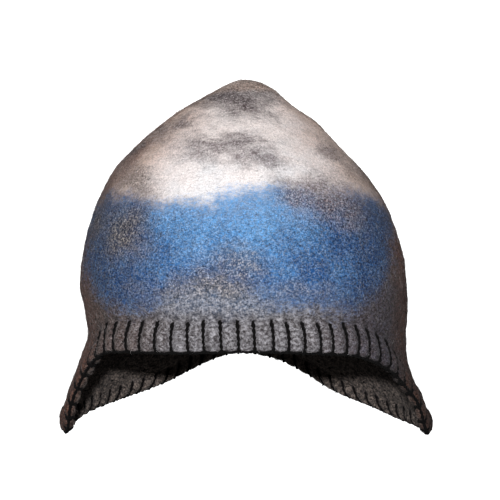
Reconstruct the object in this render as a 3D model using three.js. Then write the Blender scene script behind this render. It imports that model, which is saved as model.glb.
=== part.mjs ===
// A felt sauna hat with ear flaps, in the form that it has when it is worn.
// Millimetres, +Z up, the face opening towards -Y. The origin is the centre of the head opening,
// level with the lowest edge of the felt over the forehead.
import * as THREE from "three";

// Driving dimensions.
const CROWN_HEIGHT = 151; // from the front edge up to the tip
const HEAD_HALF_WIDTH = 98.5; // outside, across the temples
const HEAD_HALF_DEPTH = 100.5; // outside, front to back
const FLAP_DROP = 64; // from the front edge down to the ear flaps' lower edge
const NAPE_DROP = 28; // from the front edge down to the middle of the back edge
const FELT_WALL = 3;
const STITCH_PITCH = 10; // from one edging stitch to the next
const STITCH_DEPTH = 17; // from the edge up to the line of stitch holes
const LOBE_RISE = 1.1; // how far the felt swells between two stitches
const HOLE_LINE_DIP = 0.9; // how far the yarn draws the felt in along the holes
const SCALLOP_DEPTH = 0.9; // how far each stitch draws the edge up
const BROW_FLARE = 1.6; // how far the edge stands out over the middle of the forehead
const TEMPLE_FLARE = 3.6; // how far the edge stands out beside the forehead

// Angles from the front, in degrees, at which the edge's flare is grown, starts to fade and is gone.
const FLARE_GROWN = 40;
const FLARE_FADES = 55;
const FLARE_GONE = 80;

// Shares of STITCH_DEPTH: the half width of the hollow along the holes, and how much of the swelling
// between the stitches is already there at the edge.
const HOLE_LINE_SPREAD = 0.22;
const SWELL_AT_EDGE = 0.15;
const STITCH_START = 0.5; // the first stitch, in stitches from the start of the edge's table

// The form of the shell, from the tip down. Heights above the front edge are shares of CROWN_HEIGHT
// and those below it are shares of FLAP_DROP. Widths and sideways shifts are shares of
// HEAD_HALF_WIDTH, depths and backward shifts are shares of HEAD_HALF_DEPTH.
// Columns: height, half width, shift to the right, half depth, shift to the back.
const SECTIONS = [
  [1.0, 0.0, 0.024, 0.0, 0.03],
  [0.99, 0.077, 0.024, 0.078, 0.03],
  [0.964, 0.163, 0.02, 0.164, 0.028],
  [0.918, 0.275, -0.003, 0.279, 0.024],
  [0.844, 0.428, -0.022, 0.433, 0.02],
  [0.752, 0.591, -0.029, 0.597, 0.016],
  [0.656, 0.734, -0.03, 0.736, 0.012],
  [0.56, 0.835, -0.02, 0.836, 0.008],
  [0.441, 0.923, -0.009, 0.921, 0.004],
  [0.322, 0.969, -0.004, 0.968, 0.002],
  [0.177, 0.998, 0.002, 1.0, 0.0],
  [0.066, 0.985, 0.02, 0.997, 0.004],
  [-0.047, 0.974, 0.024, 0.993, 0.012],
  [-0.264, 1.004, 0.004, 1.015, 0.035],
  [-0.48, 1.054, 0.0, 1.05, 0.068],
  [-0.695, 1.117, 0.009, 1.081, 0.098],
  [-0.88, 1.133, 0.018, 1.095, 0.109],
  [-1.3, 1.136, 0.02, 1.1, 0.114],
];

// The edge of the felt, from the left flap over the forehead to the right flap.
// Columns: angle from the front in degrees, drop as a share of FLAP_DROP.
const FACE_EDGE = [
  [-97, 0.967],
  [-86, 0.963],
  [-76, 0.931],
  [-70, 0.836],
  [-68.2, 0.688],
  [-68.3, 0.531],
  [-66.6, 0.391],
  [-62, 0.245],
  [-55, 0.113],
  [-43, 0.056],
  [-24, 0.025],
  [0, 0.0],
  [24, 0.03],
  [38, 0.078],
  [48, 0.17],
  [57, 0.295],
  [64, 0.438],
  [69.5, 0.578],
  [70.7, 0.734],
  [73.5, 0.891],
  [81, 0.973],
  [93, 1.008],
];

// The edge from the right flap round the nape to the left flap.
// Columns: angle from the front in degrees, drop as a share of the way from NAPE_DROP to FLAP_DROP.
const NAPE_EDGE = [
  [107, 1.04],
  [120, 1.014],
  [133, 0.894],
  [143, 0.778],
  [151, 0.611],
  [158, 0.361],
  [165, 0.161],
  [173, 0.05],
  [180, 0.0],
  [186.6, 0.039],
  [194, 0.167],
  [201, 0.342],
  [208, 0.514],
  [216.4, 0.65],
  [230, 0.775],
  [246.5, 0.864],
];

// Soft unevenness of the hand-felted crown.
// Columns: angle from the front in degrees, height and reach as shares of CROWN_HEIGHT, and how far
// the felt stands out there as a share of FELT_WALL.
const UNEVENNESS = [
  [96, 0.895, 0.055, -0.5],
  [84, 0.845, 0.06, 0.35],
  [-60, 0.72, 0.12, 0.4],
  [25, 0.6, 0.13, -0.35],
  [-20, 0.4, 0.15, 0.35],
  [65, 0.35, 0.14, 0.3],
  [150, 0.7, 0.13, -0.45],
  [205, 0.5, 0.15, 0.4],
  [250, 0.3, 0.14, -0.35],
  [170, 0.2, 0.16, 0.3],
];

// How finely the shell is faceted.
const EDGE_SAMPLES = 1600;
const COLUMNS_PER_STITCH = 2;
const BAND_ROWS = [0.12, 0.32, 0.55, 0.8, 1.0, 1.25]; // shares of STITCH_DEPTH above the edge
const SKIRT_ROWS = 4; // from the stitched band up to the ring where the columns stand upright
const CROWN_ROWS = 14; // from that ring to the tip
const RIM_ANGLES = [-45, 0, 45]; // round the rolled edge, in degrees
const RING_RISE = 0.09; // the upright ring above the band, as a share of CROWN_HEIGHT
const TIP_CROWDING = 1.15; // above 1, the crown's rows lie closer together towards the tip

// Shares that steer how the columns of facets run.
const FLAP_FAN = 0.5; // azimuth given to the flaps' upright edges, as a share of their length
const NORMAL_BLEND = 1.5; // stitches over which the stitch direction turns round a corner
const LEAST_SQUARENESS = 0.75; // keeps rows near a corner from running away

const TURN = 2 * Math.PI;
const DEGREE = Math.PI / 180;
const EDGE_SPREAD = 1.06; // mean radius along the edge, as a share of HEAD_HALF_WIDTH
const UNROLL_RADIUS = HEAD_HALF_WIDTH * EDGE_SPREAD;

function smoothStep(value) {
  const t = Math.min(1, Math.max(0, value));
  return t * t * (3 - 2 * t);
}

// A smooth curve through table rows, with its parameter measured along the chords.
function throughRows(rows, chord) {
  const at = [0];
  for (let i = 1; i < rows.length; i++) {
    at.push(at[i - 1] + chord(rows[i - 1], rows[i]));
  }
  const slopes = rows.map((row, i) => {
    const before = Math.max(i - 1, 0);
    const after = Math.min(i + 1, rows.length - 1);
    const left = i > before ? at[i] - at[before] : 0;
    const right = after > i ? at[after] - at[i] : 0;
    return row.map((value, k) => {
      const fromLeft = left > 0 ? (value - rows[before][k]) / left : 0;
      const fromRight = right > 0 ? (rows[after][k] - value) / right : 0;
      return (fromLeft * right + fromRight * left) / (left + right);
    });
  });
  const pick = (where) => {
    let i = 0;
    while (i < rows.length - 2 && at[i + 1] < where) {
      i++;
    }
    const span = at[i + 1] - at[i];
    const t = Math.min(1, Math.max(0, (where - at[i]) / span));
    const t2 = t * t;
    const t3 = t2 * t;
    return rows[i].map(
      (value, k) =>
        value * (2 * t3 - 3 * t2 + 1) +
        slopes[i][k] * (t3 - 2 * t2 + t) * span +
        rows[i + 1][k] * (3 * t2 - 2 * t3) +
        slopes[i + 1][k] * (t3 - t2) * span,
    );
  };
  return { at, pick };
}

// The profile in millimetres. The two rows under the tip are repeated beyond it with their widths
// turned round, so that the tip comes out round.
const profileRows = SECTIONS.map(([height, width, right, depth, back]) => [
  height * (height > 0 ? CROWN_HEIGHT : FLAP_DROP),
  width * HEAD_HALF_WIDTH,
  right * HEAD_HALF_WIDTH,
  depth * HEAD_HALF_DEPTH,
  back * HEAD_HALF_DEPTH,
]);
const overTip = [profileRows[2], profileRows[1]].map(([height, width, right, depth, back]) => [
  height,
  -width,
  right,
  -depth,
  back,
]);
const profile = throughRows([...overTip, ...profileRows], (from, to) =>
  Math.hypot(to[0] - from[0], to[1] - from[1]),
);
const tipAt = profile.at[overTip.length];
const profileEnd = profile.at[profile.at.length - 1];

// A place on the unrolled shell is [along, up]: along is measured round the head at UNROLL_RADIUS
// from the middle of the forehead, and up is minus the length of felt from the tip.
function sectionAt(up) {
  return profile.pick(Math.min(profileEnd, Math.max(tipAt, tipAt - up)));
}

function upAtHeight(height) {
  let low = tipAt - profileEnd;
  let high = 0;
  for (let i = 0; i < 40; i++) {
    const middle = (low + high) / 2;
    if (sectionAt(middle)[0] < height) {
      low = middle;
    } else {
      high = middle;
    }
  }
  return (low + high) / 2;
}

function plainPoint(along, up) {
  const [height, width, right, depth, back] = sectionAt(up);
  const angle = along / UNROLL_RADIUS;
  return new THREE.Vector3(right + width * Math.sin(angle), back - depth * Math.cos(angle), height);
}

function outwardAt(along, up) {
  const reach = FELT_WALL / 4;
  if (up > -reach) {
    return new THREE.Vector3(0, 0, 1);
  }
  const round = plainPoint(along + reach, up).sub(plainPoint(along - reach, up));
  const rise = plainPoint(along, up + reach).sub(plainPoint(along, up - reach));
  return round.cross(rise).normalize();
}

const swellings = UNEVENNESS.map(([angle, height, reach, stand]) => ({
  centre: plainPoint(angle * DEGREE * UNROLL_RADIUS, upAtHeight(height * CROWN_HEIGHT)),
  reach: reach * CROWN_HEIGHT,
  stand: stand * FELT_WALL,
}));

function unevennessAt(point) {
  let sum = 0;
  for (const { centre, reach, stand } of swellings) {
    sum += stand * Math.exp(-point.distanceToSquared(centre) / (2 * reach * reach));
  }
  return sum;
}

// The edge on the unrolled shell, closed by repeating its last and first rows a turn away.
const edgeRows = [
  ...FACE_EDGE.map(([angle, share]) => [angle, share * FLAP_DROP]),
  ...NAPE_EDGE.map(([angle, share]) => [angle, NAPE_DROP + share * (FLAP_DROP - NAPE_DROP)]),
].map(([angle, drop]) => [angle * DEGREE * UNROLL_RADIUS, upAtHeight(-drop)]);
const WHOLE_TURN = TURN * UNROLL_RADIUS;
const turned = (rows, turns) => rows.map(([along, up]) => [along + turns * WHOLE_TURN, up]);
const edgeCurve = throughRows(
  [...turned(edgeRows.slice(-2), -1), ...edgeRows, ...turned(edgeRows.slice(0, 3), 1)],
  (from, to) => Math.sqrt(Math.hypot(to[0] - from[0], to[1] - from[1])),
);

// Evenly spaced columns along the edge: one at each stitch and the others between them.
function spacedEdge() {
  const first = edgeCurve.at[2];
  const last = edgeCurve.at[2 + edgeRows.length];
  const samples = [];
  for (let i = 0; i <= EDGE_SAMPLES; i++) {
    samples.push(edgeCurve.pick(first + ((last - first) * i) / EDGE_SAMPLES));
  }
  const lengths = [0];
  for (let i = 1; i < samples.length; i++) {
    const step = Math.hypot(samples[i][0] - samples[i - 1][0], samples[i][1] - samples[i - 1][1]);
    lengths.push(lengths[i - 1] + step);
  }
  const total = lengths[EDGE_SAMPLES];
  const placeAt = (where) => {
    if (where > total) {
      const [along, up] = placeAt(where - total);
      return [along + WHOLE_TURN, up];
    }
    const i = Math.max(lengths.findIndex((length) => length >= where), 1);
    const t = (where - lengths[i - 1]) / (lengths[i] - lengths[i - 1]);
    return samples[i].map((value, k) => samples[i - 1][k] * (1 - t) + value * t);
  };
  const count = Math.round(total / STITCH_PITCH) * COLUMNS_PER_STITCH;
  const start = STITCH_START * COLUMNS_PER_STITCH;
  return Array.from({ length: count }, (_, i) => placeAt((total * (i + start)) / count));
}

const edge = spacedEdge();
const COLUMNS = edge.length;
const around = (list, i) => list[((i % COLUMNS) + COLUMNS) % COLUMNS];

// Directions from the edge into the felt, square to the edge, and the same ones blended round the
// flaps' corners.
const square = edge.map((_, i) => {
  const after = around(edge, i + 1);
  const before = around(edge, i - 1);
  let along = after[0] - before[0];
  if (along < -WHOLE_TURN / 2) {
    along += WHOLE_TURN;
  }
  const rise = after[1] - before[1];
  const length = Math.hypot(along, rise);
  return [-rise / length, along / length];
});

function blended(list, spread) {
  const reach = Math.ceil(spread * 3);
  return list.map((_, i) => {
    const sum = [0, 0];
    for (let k = -reach; k <= reach; k++) {
      const weight = Math.exp(-(k * k) / (2 * spread * spread));
      sum[0] += weight * around(list, i + k)[0];
      sum[1] += weight * around(list, i + k)[1];
    }
    const length = Math.hypot(...sum);
    return [sum[0] / length, sum[1] / length];
  });
}

const inward = blended(square, NORMAL_BLEND * COLUMNS_PER_STITCH);

function bandPlace(column, depth) {
  const squareness = inward[column][0] * square[column][0] + inward[column][1] * square[column][1];
  const reach = depth / Math.max(squareness, LEAST_SQUARENESS);
  return [edge[column][0] + inward[column][0] * reach, edge[column][1] + inward[column][1] * reach];
}

// The ring above the flaps where the columns stand upright, and each column's place along it.
const BAND_TOP = BAND_ROWS[BAND_ROWS.length - 1] * STITCH_DEPTH;
const bandTop = edge.map((_, column) => bandPlace(column, BAND_TOP));
const ringUp = Math.max(...bandTop.map(([, up]) => up)) + RING_RISE * CROWN_HEIGHT;

function ringPlaces() {
  const faceEnd = FACE_EDGE[FACE_EDGE.length - 1][0] * DEGREE * UNROLL_RADIUS;
  const faceColumns = edge.findIndex(([along]) => along > faceEnd);
  const frontColumn = edge.findIndex(([along]) => along > 0);
  const steps = bandTop.map((place, i) => {
    const next = around(bandTop, i + 1);
    const along = next[0] - place[0] + (i === COLUMNS - 1 ? WHOLE_TURN : 0);
    const fan = i < faceColumns ? FLAP_FAN * Math.abs(next[1] - place[1]) : 0;
    return Math.max(along, 0) + fan;
  });
  const sum = (list) => list.reduce((total, step) => total + step, 0);
  const faceLength = sum(steps.slice(0, faceColumns));
  const napeStretch = (WHOLE_TURN - faceLength) / sum(steps.slice(faceColumns));
  const places = [bandTop[frontColumn][0] - sum(steps.slice(0, frontColumn))];
  for (let i = 1; i < COLUMNS; i++) {
    places.push(places[i - 1] + steps[i - 1] * (i > faceColumns ? napeStretch : 1));
  }
  return places;
}

const ringAlong = ringPlaces();

// How the edge stands out over the face, and how the stitches shape the band.
function flareAt(angle) {
  const aside = Math.abs(angle) / DEGREE;
  const grown = BROW_FLARE + (TEMPLE_FLARE - BROW_FLARE) * smoothStep(aside / FLARE_GROWN);
  return grown * (1 - smoothStep((aside - FLARE_FADES) / (FLARE_GONE - FLARE_FADES)));
}

function bandRelief(column, depth) {
  const phase = (column / COLUMNS_PER_STITCH) * TURN;
  const lobe = (1 - Math.cos(phase)) / 2;
  const share = Math.min(1, depth / STITCH_DEPTH);
  const grown = SWELL_AT_EDGE + (1 - SWELL_AT_EDGE) * share;
  const swell = LOBE_RISE * lobe * Math.sin(Math.PI * grown);
  const fromHoles = (depth - STITCH_DEPTH) / (HOLE_LINE_SPREAD * STITCH_DEPTH);
  return { lobe, stand: swell - HOLE_LINE_DIP * Math.exp(-fromHoles * fromHoles) };
}

// One point of the shell: face is 1 on the outside and -1 on the inside.
function shellPoint(along, up, stand, face) {
  const point = plainPoint(along, up);
  const outward = outwardAt(along, up);
  const middle = unevennessAt(point) - FELT_WALL / 2;
  return point.addScaledVector(outward, middle + face * (FELT_WALL / 2 + stand));
}

function bandPoint(column, depth, face) {
  const { lobe, stand } = bandRelief(column, depth);
  const lifted = depth + SCALLOP_DEPTH * (1 - lobe) * (1 - smoothStep(depth / STITCH_DEPTH));
  const [along, up] = bandPlace(column, lifted);
  const flare = flareAt(along / UNROLL_RADIUS) * (1 - smoothStep(depth / STITCH_DEPTH));
  const point = shellPoint(along, up, stand, face);
  return point.addScaledVector(outwardAt(along, up), flare);
}

// The rolled edge: half a turn from the outer face to the inner face.
function rimPoint(column, degrees) {
  const angle = degrees * DEGREE;
  const half = FELT_WALL / 2;
  const [along, up] = bandPlace(column, half);
  const sideways = -Math.sin(angle) * (half + bandRelief(column, half).stand);
  const point = bandPoint(column, half * (1 - Math.cos(angle)), 0);
  return point.addScaledVector(outwardAt(along, up), sideways);
}

function buildShell() {
  const positions = [];
  const faces = [];
  const addRow = (points) => {
    const start = positions.length / 3;
    for (const { x, y, z } of points) {
      positions.push(x, y, z);
    }
    return points.map((_, i) => start + i);
  };
  const join = (lower, upper) => {
    for (let i = 0; i < lower.length; i++) {
      const next = (i + 1) % lower.length;
      faces.push(lower[i], lower[next], upper[next], lower[i], upper[next], upper[i]);
    }
  };
  const thinOut = (lower, upper) => {
    for (let i = 0; i < upper.length; i++) {
      const at = i * 2;
      const next = (i + 1) % upper.length;
      const after = (at + 2) % lower.length;
      faces.push(lower[at], lower[at + 1], upper[i]);
      faces.push(lower[at + 1], upper[next], upper[i]);
      faces.push(lower[at + 1], lower[after], upper[next]);
    }
  };
  const columns = edge.map((_, i) => i);
  const upright = columns.filter((i) => i % 2 === 0);

  const rowsOf = (face) => {
    const rows = BAND_ROWS.map((share) =>
      addRow(columns.map((i) => bandPoint(i, share * STITCH_DEPTH, face))),
    );
    for (let row = 1; row <= SKIRT_ROWS; row++) {
      const t = row / SKIRT_ROWS;
      rows.push(
        addRow(
          upright.map((i) => {
            const along = bandTop[i][0] + (ringAlong[i] - bandTop[i][0]) * t;
            return shellPoint(along, bandTop[i][1] + (ringUp - bandTop[i][1]) * t, 0, face);
          }),
        ),
      );
    }
    for (let row = 1; row < CROWN_ROWS; row++) {
      const up = ringUp * (1 - row / CROWN_ROWS) ** TIP_CROWDING;
      rows.push(addRow(upright.map((i) => shellPoint(ringAlong[i], up, 0, face))));
    }
    const [pole] = addRow([shellPoint(0, 0, 0, face)]);
    return { rows, pole };
  };

  const closeFace = ({ rows, pole }) => {
    for (let i = 0; i < rows.length - 1; i++) {
      if (rows[i].length === rows[i + 1].length) {
        join(rows[i], rows[i + 1]);
      } else {
        thinOut(rows[i], rows[i + 1]);
      }
    }
    const last = rows[rows.length - 1];
    for (let i = 0; i < last.length; i++) {
      faces.push(last[i], last[(i + 1) % last.length], pole);
    }
  };

  const outer = rowsOf(1);
  closeFace(outer);
  const afterOuter = faces.length;
  const inner = rowsOf(-1);
  closeFace(inner);
  for (let i = afterOuter; i < faces.length; i += 3) {
    [faces[i], faces[i + 1]] = [faces[i + 1], faces[i]];
  }
  const rim = RIM_ANGLES.map((degrees) => addRow(columns.map((i) => rimPoint(i, degrees))));
  const loops = [inner.rows[0], ...rim.reverse(), outer.rows[0]];
  for (let i = 0; i < loops.length - 1; i++) {
    join(loops[i], loops[i + 1]);
  }

  const geometry = new THREE.BufferGeometry();
  geometry.setAttribute("position", new THREE.Float32BufferAttribute(positions, 3));
  geometry.setIndex(faces);
  geometry.computeVertexNormals();
  return geometry;
}

const felt = new THREE.MeshStandardMaterial({ color: 0x6f7f98, roughness: 0.95, metalness: 0 });
const feltShell = new THREE.Mesh(buildShell(), felt);
feltShell.name = "felt_shell";

const hat = new THREE.Group();
hat.add(feltShell);

export default hat;
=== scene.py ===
import math

import bpy
import numpy as np
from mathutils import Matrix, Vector, noise


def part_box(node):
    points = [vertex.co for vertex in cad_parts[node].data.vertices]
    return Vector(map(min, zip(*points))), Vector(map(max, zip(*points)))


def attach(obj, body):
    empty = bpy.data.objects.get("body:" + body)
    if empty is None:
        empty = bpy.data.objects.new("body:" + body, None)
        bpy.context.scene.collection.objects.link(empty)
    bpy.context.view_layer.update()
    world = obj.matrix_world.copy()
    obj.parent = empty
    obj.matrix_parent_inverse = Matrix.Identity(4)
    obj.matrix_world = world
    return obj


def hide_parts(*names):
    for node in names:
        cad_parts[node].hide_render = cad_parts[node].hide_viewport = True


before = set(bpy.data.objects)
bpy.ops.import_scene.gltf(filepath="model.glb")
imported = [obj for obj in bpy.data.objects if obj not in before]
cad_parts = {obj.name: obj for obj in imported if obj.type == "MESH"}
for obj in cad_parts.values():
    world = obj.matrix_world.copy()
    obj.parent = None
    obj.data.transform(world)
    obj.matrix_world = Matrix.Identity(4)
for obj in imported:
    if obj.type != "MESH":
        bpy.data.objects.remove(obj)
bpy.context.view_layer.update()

# A felt sauna hat with ear flaps and a blanket-stitched edge. Metres, +Z up, the face opening
# towards -Y, the origin in the middle of the head opening.

# The hat's own sizes. The tip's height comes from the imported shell, and the rest are as sewn.
CROWN_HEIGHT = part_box("felt_shell")[1].z
HEAD_HALF_WIDTH = 0.0985
HEAD_HALF_DEPTH = 0.1005
FLAP_DROP = 0.064
NAPE_DROP = 0.028
FELT_WALL = 0.003
STITCH_PITCH = 0.010
STITCH_DEPTH = 0.017

# How far the front edge stands off the head, and the angles from the front, in degrees, at which
# that is full at the temples, begins to fade and is gone.
BROW_FLARE = 0.0016
TEMPLE_FLARE = 0.0036
FLARE_GROWN, FLARE_FADES, FLARE_GONE = 40, 55, 80

# What the stitches do to the felt: it swells between them, dips along their holes and is drawn in
# at the edge.
LOBE_RISE = 0.0026
LOBE_ROUNDNESS = 0.8
SWELL_AT_EDGE = 0.15
HOLE_LINE_DIP = 0.0012
DIP_AT_HOLE, DIP_BETWEEN = 1.25, 0.75
HOLE_LINE_WIDTH = 0.22 * STITCH_DEPTH
SCALLOP_DEPTH = 0.0009

# A stitch's legs. Outside, a leg hooks to the front at its top. Inside, it is shorter and leans,
# fully from halfway to the side.
LEG_HOOK = 0.0031
HOOK_SHARPNESS = 2.5
INNER_LEG = 0.0088
INNER_LEAN = 0.0085
LEAN_FULL_AT = 0.5

# The creases under the legs, darkened by painted shade with some fuzz of the black yarn: how
# quickly they narrow, how far they run past a hole, and how wide and how deep the painted shadow of
# the hole is.
CREASE_NARROWS = 1.2
CREASE_PAST_HOLE = 0.3
HOLE_SPREAD = 0.2
HOLE_SHADE = 0.6
RIM_CREASE_NARROWS = 1.5

# Lumps of the felt's surface: how many to a metre, and their rise in metres.
FELT_LUMPS = ((55, 0.0007), (140, 0.00035), (330, 0.00018))

# The shell from the tip down, as shares of the sizes above.
# Columns: height, half width, shift to the right, half depth, shift to the back.
SECTIONS = np.array([
    (1.0, 0.0, 0.024, 0.0, 0.03),
    (0.99, 0.077, 0.024, 0.078, 0.03),
    (0.964, 0.163, 0.02, 0.164, 0.028),
    (0.918, 0.275, -0.003, 0.279, 0.024),
    (0.844, 0.428, -0.022, 0.433, 0.02),
    (0.752, 0.591, -0.029, 0.597, 0.016),
    (0.656, 0.734, -0.03, 0.736, 0.012),
    (0.56, 0.835, -0.02, 0.836, 0.008),
    (0.441, 0.923, -0.009, 0.921, 0.004),
    (0.322, 0.969, -0.004, 0.968, 0.002),
    (0.177, 0.998, 0.002, 1.0, 0.0),
    (0.066, 0.985, 0.02, 0.997, 0.004),
    (-0.047, 0.974, 0.024, 0.993, 0.012),
    (-0.264, 1.004, 0.004, 1.015, 0.035),
    (-0.48, 1.054, 0.0, 1.05, 0.068),
    (-0.695, 1.117, 0.009, 1.081, 0.098),
    (-0.88, 1.133, 0.018, 1.095, 0.109),
    (-1.3, 1.136, 0.02, 1.1, 0.114),
])

# The edge over the face, from the left flap to the right flap.
# Columns: angle from the front in degrees, drop as a share of FLAP_DROP.
FACE_EDGE = np.array([
    (-97, 0.967), (-86, 0.963), (-76, 0.931), (-70, 0.836), (-68.2, 0.688), (-68.3, 0.531),
    (-66.6, 0.391), (-62, 0.245), (-55, 0.113), (-43, 0.056), (-24, 0.025), (0, 0.0),
    (24, 0.03), (38, 0.078), (48, 0.17), (57, 0.295), (64, 0.438), (69.5, 0.578),
    (70.7, 0.734), (73.5, 0.891), (81, 0.973), (93, 1.008),
])

# The edge round the nape, from the right flap to the left flap.
# Columns: angle from the front in degrees, drop as a share of the way from NAPE_DROP to FLAP_DROP.
NAPE_EDGE = np.array([
    (107, 1.04), (120, 1.014), (133, 0.894), (143, 0.778), (151, 0.611), (158, 0.361),
    (165, 0.161), (173, 0.05), (180, 0.0), (186.6, 0.039), (194, 0.167), (201, 0.342),
    (208, 0.514), (216.4, 0.65), (230, 0.775), (246.5, 0.864),
])

# Soft unevenness of the hand-felted crown.
# Columns: angle from the front in degrees, height and reach as shares of CROWN_HEIGHT, and how far
# the felt stands out as a share of FELT_WALL.
UNEVENNESS = np.array([
    (96, 0.895, 0.055, -0.5),
    (84, 0.845, 0.06, 0.35),
    (-60, 0.72, 0.12, 0.4),
    (25, 0.6, 0.13, -0.35),
    (-20, 0.4, 0.15, 0.35),
    (65, 0.35, 0.14, 0.3),
    (150, 0.7, 0.13, -0.45),
    (205, 0.5, 0.15, 0.4),
    (250, 0.3, 0.14, -0.35),
    (170, 0.2, 0.16, 0.3),
])

# Where the hand strayed from even stitches over the face. Columns: stitch number, metres along.
STRAYED = np.array([
    (7, 0.0), (9, 0.0), (10, -0.0015), (12, -0.0024), (13, -0.0009), (14, -0.0006), (15, 0.0008),
    (17, 0.0016), (19, 0.0013), (20, 0.0017), (21, 0.0010), (22, 0.0015), (23, 0.0006),
    (25, -0.0002), (26, -0.0023), (28, -0.0041), (29, -0.0054), (31, -0.0040), (35, 0.0),
])

# How finely the felt is laid out: a band along the edge, a skirt up to a level ring above the flaps,
# and the crown from there to the tip. FLAP_FAN spreads the columns that start on a flap's steep edge.
COLUMNS_PER_STITCH = 8
BAND_ROWS = 15
BAND_TOP = 1.25 * STITCH_DEPTH
SKIRT_ROWS = 24
CROWN_ROWS = 62
CROWN_SPACING = 1.15
RIM_STEPS = 7
RING_RISE = 0.09 * CROWN_HEIGHT
FLAP_FAN = 0.5
UNROLL_RADIUS = HEAD_HALF_WIDTH * 1.06
WHOLE_TURN = 2 * math.pi * UNROLL_RADIUS
PROFILE_SAMPLES = 4000
EDGE_SAMPLES = 6001
EDGE_STEP = 0.0005
CORNER_BLEND = 1.5 * COLUMNS_PER_STITCH
LEAST_SQUARENESS = 0.75

# The hand's small errors along the edge and in a stitch's depth, in metres.
PITCH_ERROR = (-0.0003, 0.0003)
DEPTH_ERROR = (-0.0009, 0.0007)
hand = np.random.default_rng(7)


def smooth_step(value):
    t = np.clip(value, 0, 1)
    return t * t * (3 - 2 * t)


def unit(vectors, least=0):
    """Vectors made one long, apart from any that are shorter than least."""
    return vectors / np.maximum(np.linalg.norm(vectors, axis=-1, keepdims=True), least)


def ring_round(first, second, sides):
    """Directions all round each point, turned from its first direction towards its second."""
    angles = 2 * math.pi * np.arange(sides) / sides
    return np.cos(angles)[:, None] * first[:, None] + np.sin(angles)[:, None] * second[:, None]


class ThroughRows:
    """A smooth curve through table rows, with its parameter measured along the chords."""

    def __init__(self, rows, chords):
        self.rows = rows
        self.at = np.concatenate([[0], np.cumsum(chords)])
        gaps = np.diff(self.at)[:, None]
        rates = np.diff(rows, axis=0) / gaps
        middle = (rates[:-1] * gaps[1:] + rates[1:] * gaps[:-1]) / (gaps[1:] + gaps[:-1])
        self.slopes = np.vstack([rates[:1], middle, rates[-1:]])

    def pick(self, where):
        where = np.asarray(where, float)
        i = np.clip(np.searchsorted(self.at, where) - 1, 0, len(self.at) - 2)
        span = self.at[i + 1] - self.at[i]
        t = np.clip((where - self.at[i]) / span, 0, 1)[..., None]
        span = span[..., None]
        held = self.rows[i] * (2 * t**3 - 3 * t**2 + 1) + self.rows[i + 1] * (3 * t**2 - 2 * t**3)
        steered = self.slopes[i] * (t**3 - 2 * t**2 + t) + self.slopes[i + 1] * (t**3 - t**2)
        return held + steered * span


# The profile. Two rows are repeated beyond the tip with their widths turned, to round the tip.
heights = SECTIONS[:, :1] * np.where(SECTIONS[:, :1] > 0, CROWN_HEIGHT, FLAP_DROP)
across = SECTIONS[:, 1:3] * HEAD_HALF_WIDTH
deep = SECTIONS[:, 3:] * HEAD_HALF_DEPTH
profile_rows = np.hstack([heights, across, deep])
profile_rows = np.vstack([profile_rows[[2, 1]] * (1, -1, 1, -1, 1), profile_rows])
profile = ThroughRows(profile_rows, np.hypot(*np.diff(profile_rows[:, :2], axis=0).T))
TIP_AT = profile.at[2]
profile_fine = np.linspace(TIP_AT, profile.at[-1], PROFILE_SAMPLES)
profile_heights = profile.pick(profile_fine)[:, 0]


def up_at_height(height):
    """How far a height lies along the felt from the tip, as a number that falls going down."""
    return TIP_AT - np.interp(-np.asarray(height, float), -profile_heights, profile_fine)


def plain_point(along, up):
    """A point of the even shell. along goes round the head and up goes over the crown."""
    row = profile.pick(np.clip(TIP_AT - np.asarray(up, float), TIP_AT, profile.at[-1]))
    angle = np.asarray(along, float) / UNROLL_RADIUS
    x = row[..., 2] + row[..., 1] * np.sin(angle)
    y = row[..., 4] - row[..., 3] * np.cos(angle)
    return np.stack([x, y, row[..., 0]], axis=-1)


def outward_at(along, up):
    """The direction straight out of the even shell."""
    reach = FELT_WALL / 4
    up = np.minimum(up, -reach)
    around = plain_point(along + reach, up) - plain_point(along - reach, up)
    rise = plain_point(along, up + reach) - plain_point(along, up - reach)
    return unit(np.cross(around, rise))


swelling_along = np.radians(UNEVENNESS[:, 0]) * UNROLL_RADIUS
swelling_centres = plain_point(swelling_along, up_at_height(UNEVENNESS[:, 1] * CROWN_HEIGHT))


def unevenness_at(points):
    """How far the hand-felted crown stands out or in."""
    total = np.zeros(points.shape[:-1])
    for centre, (_, _, reach, stand) in zip(swelling_centres, UNEVENNESS):
        away = np.sum((points - centre) ** 2, axis=-1)
        total += stand * FELT_WALL * np.exp(-away / (2 * (reach * CROWN_HEIGHT) ** 2))
    return total


# The edge on the unrolled shell, closed by repeating rows a turn away.
face_rows = np.column_stack([FACE_EDGE[:, 0], FACE_EDGE[:, 1] * FLAP_DROP])
nape_drops = NAPE_DROP + NAPE_EDGE[:, 1] * (FLAP_DROP - NAPE_DROP)
edge_rows = np.vstack([face_rows, np.column_stack([NAPE_EDGE[:, 0], nape_drops])])
edge_along = np.radians(edge_rows[:, 0]) * UNROLL_RADIUS
edge_rows = np.column_stack([edge_along, up_at_height(-edge_rows[:, 1])])
turn_on = np.array([WHOLE_TURN, 0])
closed_rows = np.vstack([edge_rows[-2:] - turn_on, edge_rows, edge_rows[:3] + turn_on])
edge_curve = ThroughRows(closed_rows, np.sqrt(np.hypot(*np.diff(closed_rows, axis=0).T)))
edge_ends = edge_curve.at[2], edge_curve.at[2 + len(edge_rows)]
edge_fine = edge_curve.pick(np.linspace(*edge_ends, EDGE_SAMPLES))
edge_lengths = np.concatenate([[0], np.cumsum(np.hypot(*np.diff(edge_fine, axis=0).T))])
EDGE_LENGTH = edge_lengths[-1]
STITCHES = round(EDGE_LENGTH / STITCH_PITCH)


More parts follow.
